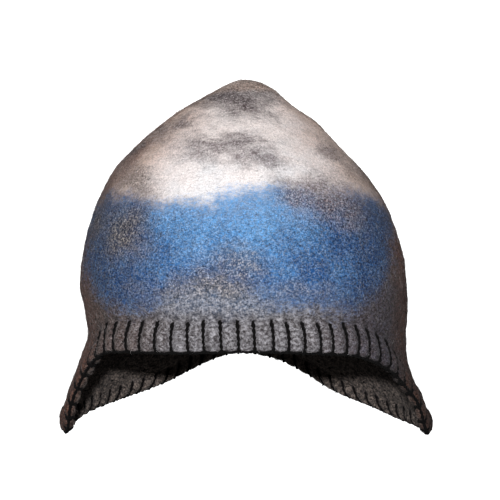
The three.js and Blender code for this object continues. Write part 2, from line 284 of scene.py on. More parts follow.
def edge_place(where):
    """The place on the unrolled shell at a length along the edge, which may go past a turn."""
    turns = np.floor(where / EDGE_LENGTH)
    rest = where - turns * EDGE_LENGTH
    places = np.stack([np.interp(rest, edge_lengths, edge_fine[:, k]) for k in (0, 1)], axis=-1)
    return places + turns[..., None] * turn_on


# Stitch places along the edge.
stitch_numbers = np.arange(STITCHES)
stitch_at = (stitch_numbers + 0.5) * EDGE_LENGTH / STITCHES
stitch_at = stitch_at + np.interp(stitch_numbers, STRAYED[:, 0], STRAYED[:, 1])
stitch_at = stitch_at + hand.uniform(*PITCH_ERROR, STITCHES)
stitch_deep = STITCH_DEPTH + hand.uniform(*DEPTH_ERROR, STITCHES)

# Columns of points, spaced evenly between the stitches, with the edge's place at each.
COLUMNS = STITCHES * COLUMNS_PER_STITCH
column_stitch = np.arange(COLUMNS) / COLUMNS_PER_STITCH
closed_at = np.concatenate([stitch_at[-1:] - EDGE_LENGTH, stitch_at, stitch_at[:1] + EDGE_LENGTH])
column_at = np.interp(column_stitch, np.arange(-1, STITCHES + 1), closed_at)
edge = edge_place(column_at)

# Directions from the edge into the felt, blended round the flaps' corners. Where they slant they
# count for more, so that the band keeps its depth.
ahead = edge_place(column_at + EDGE_STEP) - edge_place(column_at - EDGE_STEP)
square = unit(np.stack([-ahead[:, 1], ahead[:, 0]], axis=-1))
blend_reach = int(3 * CORNER_BLEND)
offsets = np.arange(-blend_reach, blend_reach + 1)
weights = np.exp(-offsets**2 / (2 * CORNER_BLEND**2))
inward = unit(sum(w * np.roll(square, -k, axis=0) for k, w in zip(offsets, weights)))
squareness = np.maximum(np.sum(inward * square, axis=-1), LEAST_SQUARENESS)

# How far to the side each column lies, from -1 at the left to 1 at the right.
edge_aside = np.sin(edge[:, :1] / UNROLL_RADIUS)


def column_values(values, column):
    """Values that are known at whole columns, at columns that may lie between them."""
    first = np.floor(column).astype(int)
    share = np.asarray(column - first)[..., None]
    return values[first % COLUMNS] * (1 - share) + values[(first + 1) % COLUMNS] * share


def band_place(column, depth):
    """The place on the unrolled shell at a depth in from the edge."""
    wrapped = np.concatenate([edge, edge[:1] + turn_on])
    first = np.floor(column).astype(int) % COLUMNS
    share = np.asarray(column - np.floor(column))[..., None]
    start = wrapped[first] * (1 - share) + wrapped[first + 1] * share
    way = column_values(inward / squareness[:, None], column)
    return start + way * np.asarray(depth)[..., None]


def flare_at(along):
    """How far the front edge stands off the head."""
    aside = np.abs(np.degrees(along / UNROLL_RADIUS))
    grown = BROW_FLARE + (TEMPLE_FLARE - BROW_FLARE) * smooth_step(aside / FLARE_GROWN)
    return grown * (1 - smooth_step((aside - FLARE_FADES) / (FLARE_GONE - FLARE_FADES)))


def lobe_at(column):
    """0 at a stitch and 1 halfway to the next, with a tight valley at the yarn."""
    return np.abs(np.sin(math.pi * column / COLUMNS_PER_STITCH)) ** LOBE_ROUNDNESS


def leg_shift(column, depth, face):
    """How many columns a leg strays: outside its top hooks to the front, inside it leans back."""
    aside = column_values(edge_aside, column)[..., 0]
    share = np.clip(depth / STITCH_DEPTH, 0, 1)
    if face > 0:
        strayed = -LEG_HOOK * aside * share**HOOK_SHARPNESS
    else:
        strayed = INNER_LEAN * np.clip(aside / LEAN_FULL_AT, -1, 1) * depth / INNER_LEG
    return strayed * COLUMNS_PER_STITCH / STITCH_PITCH


def band_relief(column, depth, face=1):
    """How far the felt stands out between the legs, and is drawn in at their holes. face is 1 on
    the outside and -1 on the inside."""
    deep = STITCH_DEPTH if face > 0 else INNER_LEG
    share = np.clip(depth / deep, 0, 1)
    level = lobe_at(column - leg_shift(column, depth, face))
    swell = LOBE_RISE * level * np.sin(math.pi * (SWELL_AT_EDGE + (1 - SWELL_AT_EDGE) * share))
    from_holes = (depth - deep) / HOLE_LINE_WIDTH
    dip = HOLE_LINE_DIP * (DIP_AT_HOLE - (DIP_AT_HOLE - DIP_BETWEEN) * level)
    return swell - dip * np.exp(-from_holes**2)


def felt_lumps(points):
    """Fine unevenness of the felt, from three sizes of soft lumps."""
    flat = points.reshape(-1, 3)
    lumps = np.zeros(len(flat))
    for scale, rise in FELT_LUMPS:
        lumps += rise * np.array([noise.noise(Vector(p)) for p in flat * scale])
    return lumps.reshape(points.shape[:-1])


def shell_point(along, up, stand, face):
    """A point of the uneven felt. face is 1 outside, -1 inside and 0 in the middle of the wall."""
    points = plain_point(along, up)
    outward = outward_at(along, up)
    middle = unevenness_at(points) - FELT_WALL / 2
    points = points + outward * (middle + face * (FELT_WALL / 2 + stand))[..., None]
    if face == 0:
        return points
    return points + outward * felt_lumps(points)[..., None]


def band_point(column, depth, face):
    """A point of the stitched band, drawn in at the stitches and flared over the face."""
    column, depth = np.broadcast_arrays(column, depth)
    drawn = SCALLOP_DEPTH * (1 - lobe_at(column)) * (1 - smooth_step(depth / STITCH_DEPTH))
    place = band_place(column, depth + drawn)
    along, up = place[..., 0], place[..., 1]
    flare = flare_at(along) * (1 - smooth_step(depth / STITCH_DEPTH))
    points = shell_point(along, up, band_relief(column, depth, face), face)
    return points + outward_at(along, up) * flare[..., None]


def rim_point(column, degrees):
    """A point of the rolled edge, from 90 degrees on the inside to -90 on the outside."""
    angle = math.radians(degrees)
    half = FELT_WALL / 2
    place = band_place(column, np.full(len(column), half))
    sideways = -math.sin(angle) * (half + band_relief(column, half))
    points = band_point(column, half * (1 - math.cos(angle)), 0)
    return points + outward_at(place[:, 0], place[:, 1]) * sideways[:, None]


def make_mesh(name, points, faces, material):
    """A smooth piece at the origin."""
    mesh = bpy.data.meshes.new(name)
    mesh.from_pydata(points.tolist(), [], faces)
    mesh.polygons.foreach_set("use_smooth", np.ones(len(mesh.polygons), bool))
    mesh.materials.append(material)
    mesh.update()
    piece = bpy.data.objects.new(name, mesh)
    bpy.context.scene.collection.objects.link(piece)
    return piece


class Shell:
    """Rows of points round the hat, joined row to row. Each point also says how far inside it is,
    and how deep in a crease of the stitching."""

    def __init__(self):
        self.points, self.inside, self.crease, self.faces, self.count = [], [], [], [], 0

    def add_row(self, points, inside, crease=0):
        self.points.append(points)
        self.inside.append(np.full(len(points), float(inside)))
        self.crease.append(np.zeros(len(points)) + crease)
        start = self.count
        self.count += len(points)
        return np.arange(start, self.count)

    def join(self, lower, upper):
        """Faces between two rows, of which the upper may have half as many points."""
        next_upper = np.roll(upper, -1)
        if len(lower) == len(upper):
            self.faces += np.stack([lower, np.roll(lower, -1), next_upper, upper], axis=-1).tolist()
            return
        even, odd = lower[::2], lower[1::2]
        self.faces += np.stack([even, odd, upper], axis=-1).tolist()
        self.faces += np.stack([odd, next_upper, upper], axis=-1).tolist()
        self.faces += np.stack([odd, np.roll(even, -1), next_upper], axis=-1).tolist()

    def close_tip(self, row, tip):
        after = np.roll(row, -1)
        self.faces += [[a, b, tip] for a, b in zip(row.tolist(), after.tolist())]

    def turn_faces(self, start):
        self.faces[start:] = [face[::-1] for face in self.faces[start:]]


def ring_places(band_top):
    """Where each column stands on the ring above the flaps from which the columns are upright."""
    face_end = math.radians(FACE_EDGE[-1, 0]) * UNROLL_RADIUS
    face_columns = int(np.argmax(edge[:, 0] > face_end))
    front_column = int(np.argmax(edge[:, 0] > 0))
    following = np.vstack([band_top[1:], band_top[:1] + turn_on])
    steps = np.maximum(following[:, 0] - band_top[:, 0], 0)
    steps[:face_columns] += FLAP_FAN * np.abs(following - band_top)[:face_columns, 1]
    face_length = steps[:face_columns].sum()
    steps[face_columns:] *= (WHOLE_TURN - face_length) / steps[face_columns:].sum()
    places = np.concatenate([[0], np.cumsum(steps)[:-1]])
    return places - places[front_column] + band_top[front_column, 0]


def crease_at(column, depth, face):
    """Painted shade, with some fuzz of the black yarn: 1 in the crease under a leg and at its hole,
    and 0 on the felt between the legs.
    """
    deep = STITCH_DEPTH if face > 0 else INNER_LEG
    level = lobe_at(column - leg_shift(column, depth, face))
    past_hole = (depth - deep) / deep
    along_leg = (1 - level) ** CREASE_NARROWS * (1 - smooth_step(past_hole / CREASE_PAST_HOLE))
    hole = HOLE_SHADE * (1 - level) * np.exp(-((past_hole / HOLE_SPREAD) ** 2))
    return np.clip(along_leg + hole, 0, 1)


def felt_rows(shell, face, coarser):
    """One face of the felt, from the edge to the tip. Above the band it has every other column,
    and coarser times fewer rows."""
    columns = np.arange(COLUMNS, dtype=float)
    upright = columns[::2]
    inside = (1 - face) / 2
    depths = np.linspace(FELT_WALL / 2, BAND_TOP, BAND_ROWS)
    rows = []
    for depth in depths:
        crease = crease_at(columns, depth, face)
        rows.append(shell.add_row(band_point(columns, depth, face), inside, crease))
    band_top = band_place(columns, np.full(COLUMNS, BAND_TOP))
    ring_up = band_top[:, 1].max() + RING_RISE
    ring = ring_places(band_top)[::2]
    band_top = band_top[::2]
    for t in np.linspace(0, 1, SKIRT_ROWS // coarser + 1)[1:]:
        along = band_top[:, 0] * (1 - t) + ring * t
        up = band_top[:, 1] * (1 - t) + ring_up * t
        depth = BAND_TOP + up - band_top[:, 1]
        relief = band_relief(upright, depth, face)
        rows.append(shell.add_row(shell_point(along, up, relief, face), inside))
    for t in np.linspace(1, 0, CROWN_ROWS // coarser + 1)[1:-1]:
        up = np.full(len(ring), ring_up * t**CROWN_SPACING)
        rows.append(shell.add_row(shell_point(ring, up, np.zeros(len(ring)), face), inside))
    tip = shell.add_row(shell_point(np.zeros(1), np.zeros(1), np.zeros(1), face), inside)
    for lower, upper in zip(rows, rows[1:]):
        shell.join(lower, upper)
    shell.close_tip(rows[-1], int(tip[0]))
    return rows[0]


def make_felt(material):
    """The felt: its outer face, its inner face and the rolled edge that joins them."""
    shell = Shell()
    outer_edge = felt_rows(shell, 1, 1)
    turned_from = len(shell.faces)
    inner_edge = felt_rows(shell, -1, 2)
    shell.turn_faces(turned_from)  # the inner face looks inwards
    columns = np.arange(COLUMNS, dtype=float)
    angles = np.linspace(90, -90, RIM_STEPS + 2)[1:-1]
    crease = (1 - lobe_at(columns)) ** RIM_CREASE_NARROWS
    rim = [shell.add_row(rim_point(columns, a), (90 + a) / 180, crease) for a in angles]
    loops = [inner_edge, *rim, outer_edge]
    for lower, upper in zip(loops, loops[1:]):
        shell.join(lower, upper)
    body = make_mesh("felt_body", np.vstack(shell.points), shell.faces, material)
    for name, values in (("inside", shell.inside), ("crease", shell.crease)):
        marks = body.data.attributes.new(name, "FLOAT", "POINT")
        marks.data.foreach_set("value", np.concatenate(values))
    return body


# The yarn: two plies, twisted.
PLY_RADIUS = 0.00065
PLY_APART = 0.00046
PLY_SIDES = 6
TWIST_PITCH = 0.0064
YARN_THICKNESS = 2 * (PLY_RADIUS + PLY_APART)
YARN_LIFT = 0.00047

# The strand lies on the rim at this angle, from 90 degrees inside to -90 outside, and has a point
# at each of these steps in columns.
STRAND_ANGLE = -12
STRAND_STEP = 0.8

# A stitch. Its legs end near the edge, sway by parts of a column and rise out of their holes, and
# the outer one thickens towards its hole. It goes round the rim at these angles, over the strand.
LEG_STEPS = 13
LEG_ENDS = 0.06
LEG_RISES = 9
HOLE_SINK = 0.0013
HOLE_GIRTH = 0.38
INNER_SWAY = (-0.35, 0.35)
OUTER_SWAY = (-0.2, 0.2)
RIM_ANGLES = (65, 35, 10, STRAND_ANGLE, -35, -65)
OVER_STRAND = 0.55 * YARN_THICKNESS
OVER_ANGLE = 30
TWIST_START = (0, 6)


def yarn_directions(path, normals, closed):
    """Two directions square to a path at each point, the first as near as can be to the normals."""
    if closed:
        tangents = np.roll(path, -1, axis=0) - np.roll(path, 1, axis=0)
    else:
        tangents = np.gradient(path, axis=0)
    tangents = unit(tangents)
    normals = unit(normals - tangents * np.sum(normals * tangents, axis=1, keepdims=True))
    return normals, np.cross(tangents, normals)


def plied_yarn(path, normals, girth, closed, turn):
    """Points and faces of two twisted plies along a path whose surface normals are known.
    girth is how thick the yarn is at each point, as a share of its usual thickness."""
    normals, aside = yarn_directions(path, normals, closed)
    lengths = np.concatenate([[0], np.cumsum(np.linalg.norm(np.diff(path, axis=0), axis=1))])
    pitch = TWIST_PITCH
    if closed:
        whole = lengths[-1] + np.linalg.norm(path[0] - path[-1])
        pitch = whole / round(whole / TWIST_PITCH)
    ring = ring_round(normals, aside, PLY_SIDES)
    points, faces = [], []
    for ply in (0, 1):
        angle = 2 * math.pi * lengths / pitch + math.pi * ply + turn
        wound = np.cos(angle)[:, None] * normals + np.sin(angle)[:, None] * aside
        centre = path + PLY_APART * girth[:, None] * wound
        points.append((centre[:, None] + PLY_RADIUS * girth[:, None, None] * ring).reshape(-1, 3))
        index = np.arange(len(points[0])).reshape(-1, PLY_SIDES) + ply * len(points[0])
        lower, upper = (index, np.roll(index, -1, axis=0)) if closed else (index[:-1], index[1:])
        quads = [lower, np.roll(lower, -1, axis=1), np.roll(upper, -1, axis=1), upper]
        faces += np.stack(quads, axis=-1).reshape(-1, 4).tolist()
        if not closed:
            faces.append(index[0][::-1].tolist())
            faces.append(index[-1].tolist())
    return np.vstack(points), faces


def joined(parts):
    """Points and faces of several parts as one mesh."""
    points, faces, start = [], [], 0
    for part_points, part_faces in parts:
        points.append(part_points)
        faces += [[i + start for i in face] for face in part_faces]
        start += len(part_points)
    return np.vstack(points), faces


def round_rim(column, degrees, lift):
    """Points lifted off the rim, and the directions in which they are lifted."""
    centre = band_point(column, np.full(len(column), FELT_WALL / 2), 0)
    on_rim = rim_point(column, degrees)
    way = unit(on_rim - centre)
    return on_rim + way * lift, way


def leg_points(number, face, sway):
    """A leg on one face, from its hole to the edge."""
    shares = np.linspace(1, LEG_ENDS, LEG_STEPS)
    longest = stitch_deep[number] * (1 if face > 0 else INNER_LEG / STITCH_DEPTH)
    depths = longest * shares
    columns = np.full(len(shares), float(number * COLUMNS_PER_STITCH))
    columns = columns + leg_shift(columns, depths, face) + sway * np.sin(math.pi * shares)
    place = band_place(columns, depths)
    normals = outward_at(place[:, 0], place[:, 1]) * face
    lift = YARN_LIFT * np.minimum(1, (1 - shares) * LEG_RISES) - HOLE_SINK * (shares == 1)
    return band_point(columns, depths, face) + normals * lift[:, None], normals


def stitch_path(number):
    """From the hole on the inside, round the edge over the strand, to the hole on the outside."""
    inner, inner_normals = leg_points(number, -1, hand.uniform(*INNER_SWAY))
    outer, outer_normals = leg_points(number, 1, hand.uniform(*OUTER_SWAY))
    column = np.full(1, float(number * COLUMNS_PER_STITCH))
    points, normals = [inner], [inner_normals]
    for degrees in RIM_ANGLES:
        over = OVER_STRAND * math.exp(-(((degrees - STRAND_ANGLE) / OVER_ANGLE) ** 2))
        spot, way = round_rim(column, degrees, YARN_LIFT + over)
        points.append(spot)
        normals.append(way)
    points.append(outer[::-1])
    normals.append(outer_normals[::-1])
    return np.vstack(points), np.vstack(normals)


def make_stitches(material):
    """The blanket stitches, all of one yarn."""
    parts = []
    for number in range(STITCHES):
        path, normals = stitch_path(number)
        girth = np.ones(len(path))
        girth[-LEG_STEPS:] += HOLE_GIRTH * np.linspace(0, 1, LEG_STEPS) ** 2
        parts.append(plied_yarn(path, normals, girth, False, hand.uniform(*TWIST_START)))
    points, faces = joined(parts)
    return make_mesh("blanket_stitches", points, faces, material)


def make_edge_strand(material):
    """The yarn that runs along the edge from stitch to stitch."""
    columns = np.arange(0, COLUMNS, STRAND_STEP)
    path, way = round_rim(columns, STRAND_ANGLE, YARN_LIFT)
    points, faces = plied_yarn(path, way, np.ones(len(path)), True, 0)
    return make_mesh("edge_strand", points, faces, material)


# Loose wool fibres that lie on the felt. They run from step -1 to step 1, turn from level by
# chance, bend and curl by shares of their half length, and arch off the felt with their ends in it.
FIBRE_RADIUS = 0.00007
FIBRE_SIDES = 3
FIBRE_STEPS = np.array([-1, -0.5, 0, 0.5, 1])
FIBRE_TURN = 1.1
FIBRE_HALF = (0.3, 0.5)
FIBRE_BEND = 0.6
FIBRE_CURL = 0.2
CURL_TURNS = 3
FIBRE_ARCH = (0.00005, 0.0004)
ARCH_TOP, ARCH_FALL = 1.1, 1.4


def scattered(body, count):
    """Chance places on a mesh, spread evenly over its area, and the way out of it at each."""
    mesh = body.data
    mesh.calc_loop_triangles()
    corners = np.empty(len(mesh.loop_triangles) * 3, int)
    mesh.loop_triangles.foreach_get("vertices", corners)
    places = np.empty(len(mesh.vertices) * 3)
    mesh.vertices.foreach_get("co", places)
    places = places.reshape(-1, 3)
    a, b, c = (places[corners.reshape(-1, 3)[:, k]] for k in range(3))
    across = np.cross(b - a, c - a)
    areas = np.linalg.norm(across, axis=1)
    chosen = hand.choice(len(areas), count, p=areas / areas.sum())
    u, v = hand.random((2, count, 1))
    flip = u + v > 1
    u, v = np.where(flip, 1 - u, u), np.where(flip, 1 - v, v)
    middle = a[chosen] + u * (b - a)[chosen] + v * (c - a)[chosen]
    return middle, across[chosen] / areas[chosen][:, None]


def fibre_faces(count):
    """Faces of fibres that have a point, a ring at each inner step, and a point."""
    pairs = [(k, (k + 1) % FIBRE_SIDES) for k in range(FIBRE_SIDES)]
    rings = [1 + FIBRE_SIDES * ring for ring in range(len(FIBRE_STEPS) - 2)]
    end = rings[-1] + FIBRE_SIDES
    faces = [(0, 1 + after, 1 + k) for k, after in pairs]
    for low, high in zip(rings, rings[1:]):
        faces += [(low + k, low + after, high + after, high + k) for k, after in pairs]
    faces += [(rings[-1] + k, rings[-1] + after, end) for k, after in pairs]
    return [tuple(i + (end + 1) * number for i in face) for number in range(count) for face in faces]


def make_fibres(name, body, count, longest, material):
    """Thin curved fibres, pointed at both ends and laid level on the hat's felt."""
    middle, normal = scattered(body, count)
    level = unit(np.cross((0, 0, 1), normal), least=1e-6)
    steep = np.cross(normal, level)
    turn = hand.normal(0, FIBRE_TURN, (count, 1))
    way = level * np.cos(turn) + steep * np.sin(turn)
    side = np.cross(normal, way)
    half = hand.uniform(*FIBRE_HALF, (count, 1)) * longest
    bend = hand.normal(0, FIBRE_BEND, (count, 1)) * half
    curl = hand.normal(0, FIBRE_CURL, (count, 1)) * half
    arch = hand.uniform(*FIBRE_ARCH, (count, 1))
    around = ring_round(normal, side, FIBRE_SIDES)
    rings = []
    for step in FIBRE_STEPS:
        sideways = bend * (step**2 - 0.5) + curl * math.sin(CURL_TURNS * step)
        off_felt = normal * (arch * (ARCH_TOP - ARCH_FALL * step**2))
        point = (middle + way * half * step + side * sideways + off_felt)[:, None]
        rings.append(point if abs(step) == 1 else point + FIBRE_RADIUS * around)
    points = np.concatenate(rings, axis=1).reshape(-1, 3)
    return make_mesh(name, points, fibre_faces(count), material)


def operator(operation, turned=False):
    """A sum on two values. A turned one takes them the other way round, as 1 - mask does."""
    def work(value, other):
        return value.maths(operation, *((other, value) if turned else (value, other)))
    return work


class Value:
    """One output of a finish's nodes. Sums on values add Math nodes."""

    def __init__(self, finish, socket):
        self.finish = finish
        self.socket = socket

    def maths(self, operation, *values):
        inputs = dict(enumerate(values))
        return self.finish.add("ShaderNodeMath", {"operation": operation}, inputs)

    __add__, __radd__ = operator("ADD"), operator("ADD", turned=True)
    __sub__, __rsub__ = operator("SUBTRACT"), operator("SUBTRACT", turned=True)
    __mul__, __rmul__ = operator("MULTIPLY"), operator("MULTIPLY", turned=True)
    __truediv__ = operator("DIVIDE")
    most = operator("MAXIMUM")

    def __abs__(self):
        return self.maths("ABSOLUTE", self)


SHEEN_ROUGHNESS = 0.5


class Finish:
    """A material made of nodes."""

    def __init__(self, name, roughness, sheen, specular=0.2):
        self.material = bpy.data.materials.new(name)
        self.material.use_nodes = True
        self.tree = self.material.node_tree
        self.surface = self.tree.nodes["Principled BSDF"]
        self.surface.inputs["Roughness"].default_value = roughness
        self.surface.inputs["Specular IOR Level"].default_value = specular
        self.surface.inputs["Sheen Weight"].default_value = sheen
        self.surface.inputs["Sheen Roughness"].default_value = SHEEN_ROUGHNESS

    def add(self, kind, settings=None, inputs=None, output=0):
        """One node: its settings are set first, then the values or links of its sockets."""
        node = self.tree.nodes.new(kind)
        for name, value in (settings or {}).items():
            if name == "stops":
                self.set_stops(node.color_ramp, value)
            else:
                setattr(node, name, value)
        for name, value in (inputs or {}).items():
            if isinstance(value, Value):
                self.tree.links.new(value.socket, node.inputs[name])
            else:
                node.inputs[name].default_value = value
        return Value(self, node.outputs[output])

    @staticmethod
    def set_stops(ramp, stops):
        while len(ramp.elements) < len(stops):
            ramp.elements.new(1)
        for element, (place, color) in zip(ramp.elements, stops):
            element.position = place
            element.color = color

    def object_place(self):
        """The place on the hat, in metres."""
        return self.add("ShaderNodeTexCoord", output="Object")

    def mark(self, name):
        """A value that the mesh carries at each of its points."""
        settings = {"attribute_type": "GEOMETRY", "attribute_name": name}
        return self.add("ShaderNodeAttribute", settings, output="Fac")

    def parts(self, vector):
        """The x, y and z of a vector."""
        node = self.add("ShaderNodeSeparateXYZ", {}, {0: vector}).socket.node
        return [Value(self, socket) for socket in node.outputs]

    def through(self, value, stops):
        """A soft curve through stops of place and value, with places from -1 to 1."""
        spread = [((place + 1) / 2, (level, level, level, 1)) for place, level in stops]
        return self.add("ShaderNodeValToRGB", {"stops": spread}, {0: value * 0.5 + 0.5})

    def noise(self, place, grain, output="Fac"):
        """Noise whose grain is its scale, detail and roughness."""
        inputs = dict(zip(("Vector", "Scale", "Detail", "Roughness"), (place, *grain)))
        return self.add("ShaderNodeTexNoise", {}, inputs, output)

    def vector(self, operation, first, second=(0, 0, 0), output=0):
        inputs = {0: first, "Scale" if operation == "SCALE" else 1: second}
        return self.add("ShaderNodeVectorMath", {"operation": operation}, inputs, output)

    def flattened(self, place, times):
        """A place at which noise is flattened, so that it is drawn out sideways."""
        return self.vector("MULTIPLY", place, (1, 1, times))

    def wander(self, place, noise_place, grain, reach):
        """A place moved about by colour noise."""
        noise = self.noise(noise_place, grain, "Color")
        centred = self.vector("SUBTRACT", noise, (0.5, 0.5, 0.5))
        return self.vector("ADD", place, self.vector("SCALE", centred, reach))

    def ease(self, value, between):
        """0 at the first end of a range and 1 at the second, with soft ends."""
        settings = {"interpolation_type": "SMOOTHSTEP", "clamp": True}
        inputs = {"Value": value, "From Min": between[0], "From Max": between[1]}
        return self.add("ShaderNodeMapRange", settings, inputs)

    def blend(self, share, first, second, mode="MIX"):
        """A share of the second colour over the first."""
        settings = {"data_type": "RGBA", "blend_type": mode, "clamp_factor": True}
        return self.add("ShaderNodeMix", settings, {0: share, 6: first, 7: second}, 2)

    def connect(self, name, value):
        """Feeds a value to a socket of the surface."""
        self.tree.links.new(value.socket, self.surface.inputs[name])

    def bump(self, height, distance, strength):
        inputs = {"Height": height, "Distance": distance, "Strength": strength}
        self.connect("Normal", self.add("ShaderNodeBump", {}, inputs))


def shade(red, green, blue):
    """A colour typed as it looks on a screen, from 0 to 255, as the light it returns."""
    levels = [level / 255 for level in (red, green, blue)]
    light = [c / 12.92 if c < 0.04 else ((c + 0.055) / 1.055) ** 2.4 for c in levels]
    return (*light, 1)


# Wool colours.
HEATHER = shade(147, 145, 150)
HEATHER_SHADE = shade(60, 55, 57)
HEATHER_BROWN = shade(100, 75, 64)
# Partly painted shade: the dark red-brown of the crown's far sides.
RIM_BROWN_AND_SHADE = shade(124, 74, 54)
SLATE = shade(88, 92, 116)
INSIDE = shade(134, 121, 113)
INSIDE_SHADE = shade(66, 60, 57)
CREAM = shade(241, 239, 241)
CREAM_WARM = shade(246, 231, 225)
CREAM_GREY = shade(176, 162, 160)
CREAM_BLUSH = shade(242, 216, 206)
BLUE = shade(90, 145, 198)
BLUE_DEEP = shade(20, 71, 126)
BLUE_PALE = shade(136, 176, 214)
TIP_WOOL = shade(196, 172, 159)
GREY = shade(152, 143, 149)
GREY_DARK = shade(78, 59, 62)
TIP_BROWN = shade(188, 157, 137)
BROWN = shade(158, 148, 140)
BROWN_DARK = shade(62, 54, 54)
PALE = shade(214, 210, 210)
DARK = shade(44, 40, 44)
YARN_BLACK = shade(4, 4, 4)
YARN_GREY = shade(22, 19, 20)

# Noises of the wool: scale, detail, roughness.
CLOUDS = (55, 3, 0.6)
DRIFT = (30, 2, 0.5)
FRAY = (130, 5, 0.72)
TEARS = (95, 4, 0.65)
WAVES = (120, 4, 0.7)
TUFTS = (230, 4, 0.65)
MOTTLE = (450, 4, 0.7)
SPECKS = (1100, 2, 0.6)
FINE_WOOL = (620, 3, 0.7)
PALE_LINES = (430, 3, 0.6)
DARK_LINES = (400, 3, 0.6)
YARN_HAIRS = (2400, 3, 0.6)

# The wool lies mostly level, so a noise is flattened this many times.
LYING_STRETCH = 1.4
FRAY_STRETCH = 3.2
TEAR_STRETCH = 1.8
WAVE_STRETCH = 2.4
TUFT_STRETCH = 1.7

# How far noise moves the wool's zones about, in metres, and how the dark lines are set apart from
# the pale ones.
DRIFT_REACH = 0.018
FRAY_REACH = 0.0075
TEAR_REACH = 0.024
DARK_LINES_APART = (0.3, 0.1, 0.7)

# Ranges run from none to full. These are heights, as shares of CROWN_HEIGHT.
WARM_HEIGHT = (0.6, 0.85)
HAZE_STARTS, HAZE_ENDS = (0.08, 0.2), (0.6, 0.5)
CREAM_STARTS, CREAM_ENDS = (0.43, 0.565), (0.965, 0.91)
TAN_STARTS = (0.45, 0.6)
RIM_FADE = (0.6, 0.4)
BRIGHT_STARTS = (0.16, 0.5)
BLUE_TOP, BLUE_BOTTOM = (-0.072, 0.05), (-0.10, 0.08)
TIP_STARTS = (0.93, 0.97)
LOW_HEIGHT = (0.3, 0.1)
BAND_HEIGHT = (0.27, 0.12)
# The next two place painted shade: down the flaps, and high on the far sides.
FLAP_HEIGHT = (0.05, -0.3)
DARK_HEIGHT = (0.4, 0.6)

# Ranges to the side, as shares of HEAD_HALF_WIDTH.
FLANK = (0.30, 0.95)
# DARK_SIDE places painted shade towards the sides. RIGHT_SIDE places slate wool and painted shade low
# on the right.
DARK_SIDE = (0.35, 1.0)
RIGHT_SIDE = (0.35, 0.85)
BLUE_MIDDLE = -0.04
DIM_SIDE = (0.12, 0.75)
BLUE_ENDS = (0.99, 0.78)

# Ranges to the side, as shares of the hat's half width at their height.
BLUSH_SIDE = (0.35, 0.85)
TAN_SIDE = (0.58, 0.98)
FAR_SIDE = (0.86, 1.0)
NARROWEST = 0.1

# Ranges of noises and masks. A wisp's range is in its half widths.
GRAIN = (0.36, 0.64)
LINE_FADE = (0.06, 0)
WARM_CLOUDS = (0.35, 0.65)
WAVE_FADE = (0.44, 0.7)
BLUE_LEAST = (0, 0.12)
FIBROUS = (0.40, 0.60)
FINE = (0.42, 0.66)
WISP_FADE = (1.6, 0.1)
YARN_HAIR_FADE = (0.4, 0.75)

# How much of a wool is laid over the others, from 0 to 1.
FLANK_SHARE = 0.85
HAZE_SHARE = 0.17
CLOUD_SHARE = 0.45
WARM_SHARE = 0.6
BLUSH_SHARE = 0.6
TAN_SHARE = 0.70
WARM_GREY_SHARE = 0.4
TIP_SHARE = 0.8
CREASE_SHADE_AND_FUZZ = 0.68
PALE_LINE_SHARE = 0.10
DARK_LINE_SHARE = 0.34

# The blue zone of the front: side as a share of HEAD_HALF_WIDTH, top and bottom as shares of
# CROWN_HEIGHT.
BLUE_ZONE = [
    (-0.90, 0.50, 0.22),
    (-0.79, 0.54, 0.165),
    (-0.65, 0.526, 0.15),
    (-0.53, 0.512, 0.18),
    (-0.41, 0.516, 0.235),
    (-0.30, 0.508, 0.255),
    (-0.21, 0.52, 0.275),
    (-0.15, 0.56, 0.285),
    (-0.02, 0.546, 0.28),
    (0.10, 0.55, 0.245),
    (0.21, 0.575, 0.19),
    (0.38, 0.55, 0.165),
    (0.60, 0.52, 0.16),
    (0.74, 0.515, 0.19),
    (0.85, 0.48, 0.225),
    (0.92, 0.43, 0.29),
]

# Wisps of wool laid over the others, as they lie on the hat.
# Columns: angle from the front in degrees, height as a share of CROWN_HEIGHT, half width and half
# height in metres, strength.
GREY_WISPS = [
    (-29, 0.925, 0.018, 0.008, 1.0),
    (-12, 0.912, 0.015, 0.008, 1.0),
    (2, 0.895, 0.016, 0.010, 1.0),
    (24, 0.900, 0.012, 0.007, 0.65),
    (35, 0.918, 0.013, 0.007, 0.7),
    (4, 0.861, 0.010, 0.005, 0.5),
    (28, 0.854, 0.006, 0.005, 0.6),
    (-44, 0.822, 0.011, 0.007, 0.8),
    (-50, 0.768, 0.011, 0.007, 0.55),
    (-22, 0.735, 0.015, 0.008, 0.78),
    (-12, 0.738, 0.014, 0.007, 0.85),
    (-2, 0.748, 0.015, 0.007, 0.85),
    (6, 0.722, 0.013, 0.008, 0.9),
    (13, 0.690, 0.013, 0.007, 0.85),
    (-17, 0.695, 0.013, 0.006, 0.6),
    (-56, 0.612, 0.018, 0.007, 0.4),
    (-60, 0.785, 0.012, 0.005, 0.7),
    (-66, 0.725, 0.014, 0.006, 0.75),
    (-63, 0.665, 0.014, 0.005, 0.4),
    (-40, 0.56, 0.012, 0.008, 0.45),
    (24, 0.600, 0.014, 0.006, 0.7),
    (34, 0.585, 0.020, 0.009, 0.9),
    (38, 0.518, 0.020, 0.012, 1.0),
    (25, 0.545, 0.016, 0.009, 0.9),
    (45, 0.475, 0.015, 0.012, 0.9),
    (40, 0.45, 0.012, 0.006, 0.5),
    (59, 0.708, 0.013, 0.006, 0.8),
    (72, 0.64, 0.018, 0.007, 0.5),
    (120, 0.70, 0.024, 0.009, 0.7),
    (150, 0.62, 0.028, 0.008, 0.7),
    (185, 0.74, 0.020, 0.007, 0.8),
    (215, 0.58, 0.024, 0.010, 0.8),
    (200, 0.88, 0.016, 0.007, 0.8),
    (250, 0.72, 0.022, 0.009, 0.7),
]
